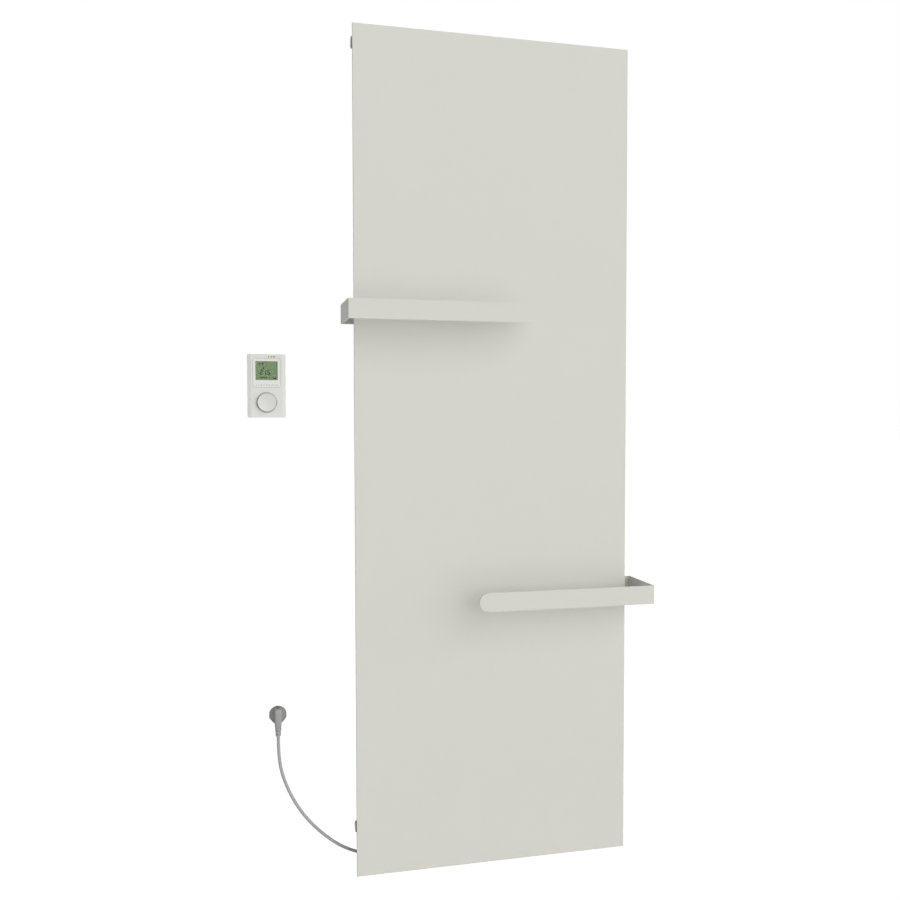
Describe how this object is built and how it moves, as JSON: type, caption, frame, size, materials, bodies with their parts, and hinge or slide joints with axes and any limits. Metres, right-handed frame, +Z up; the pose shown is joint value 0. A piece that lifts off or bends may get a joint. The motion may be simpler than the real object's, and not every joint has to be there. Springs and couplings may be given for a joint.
{
  "type": "electric towel radiator",
  "caption": "Tall flat electric towel radiator for wall mounting, with two towel bars bent round its sides, a supply lead with plug and a separate radio thermostat.",
  "frame": {"origin": "on the wall plane, at the centre of the four wall screws", "axes": "+X to the right seen from the room, +Y into the wall, +Z up"},
  "size_m": [0.8478, 0.1856, 1.7805],
  "materials": {
    "panel_paint": "fine matt powder coat, warm light grey",
    "bar_paint": "fine matt powder coat, warm light grey",
    "element_film": "amber film with dark tracks",
    "insulation_foam": "closed-cell foam board",
    "zinc_sheet": "galvanised sheet",
    "frame_paint": "powder coat",
    "dark_cap_plastic": "moulded, satin",
    "zinc_fastener": "zinc plated",
    "receiver_plastic": "moulded, fine grain",
    "black_plastic": "moulded",
    "circuit_board": "solder resist",
    "terminal_plastic": "moulded",
    "lamp_lens": "tinted light guide",
    "cutout_metal": "drawn can",
    "lead_insulation": "wire insulation",
    "earth_insulation": "wire insulation",
    "rubber_black": "soft rubber",
    "cord_grey": "flexible sheath, grey",
    "plug_grey": "moulded, grey",
    "contact_metal": "nickel plated",
    "thermostat_plastic": "moulded, fine matt grain",
    "clear_lens": "clear window",
    "display_glass": "green display",
    "battery_jacket": "printed film jacket"
  },
  "bodies": {
    "radiator": {"bar_nut_plates": "zinc_fastener", "bar_screws": "zinc_fastener", "bar_spacers": "frame_paint", "battery_cells": "battery_jacket", "battery_contacts": "zinc_fastener", "button_switch": "black_plastic", "cable_gland": "black_plastic", "coil_tie": "black_plastic", "cord_coil": "cord_grey", "cord_peg": "black_plastic", "cord_tail": "cord_grey", "cover_screws": "zinc_fastener", "earth_lead": "earth_insulation", "earth_stud": "zinc_fastener", "element_leads": "lead_insulation", "encoder_body": "black_plastic", "front_panel": "panel_paint", "gland_nut": "black_plastic", "gland_sleeve": "cord_grey", "heating_mat": "element_film", "hook_lock_screws": "zinc_fastener", "insulation_board": "insulation_foam", "lead_grommet": "rubber_black", "lid_screws": "zinc_fastener", "lower_towel_bar": "bar_paint", "mains_cord": "cord_grey", "plug_body": "plug_grey", "plug_earth_clip": "contact_metal", "plug_pins": "contact_metal", "plug_strain_relief": "cord_grey", "post_left": "frame_paint", "post_right": "frame_paint", "rail_end_caps": "dark_cap_plastic", "rail_saddles": "frame_paint", "rail_screws": "zinc_fastener", "rear_cover": "zinc_sheet", "rear_rail_bottom": "frame_paint", "rear_rail_top": "frame_paint", "receiver_base": "receiver_plastic", "receiver_board": "circuit_board", "receiver_lid": "receiver_plastic", "relay": "black_plastic", "status_lamp": "lamp_lens", "supply_module": "black_plastic", "terminal_block": "terminal_plastic", "thermal_cutouts": "cutout_metal", "thermostat_back_plate": "thermostat_plastic", "thermostat_bezel": "thermostat_plastic", "thermostat_board": "circuit_board", "thermostat_case": "thermostat_plastic", "thermostat_display": "display_glass", "thermostat_lamps": "lamp_lens", "thermostat_lens": "clear_lens", "upper_towel_bar": "bar_paint", "wall_hooks": "zinc_sheet"},
    "pairing_button": {"pairing_button": "receiver_plastic"},
    "control_plunger": {"encoder_plunger": "black_plastic"},
    "control_knob": {"thermostat_knob": "thermostat_plastic", "encoder_shaft": "cutout_metal"}
  },
  "joints": [
    {"name": "pairing_button_press", "type": "slide", "parent": "radiator", "child": "pairing_button", "axis": [0, -1, 0], "range_m": [0, 0.0008], "stiffness_N_per_m": 1500},
    {"name": "control_press", "type": "slide", "parent": "radiator", "child": "control_plunger", "axis": [0, 1, 0], "range_m": [0, 0.0005], "stiffness_N_per_m": 4000},
    {"name": "control_turn", "type": "hinge", "parent": "control_plunger", "child": "control_knob", "pos_m": [-0.4743, -0.03, 0.05825], "axis": [0, -1, 0], "continuous": true}
  ]
}
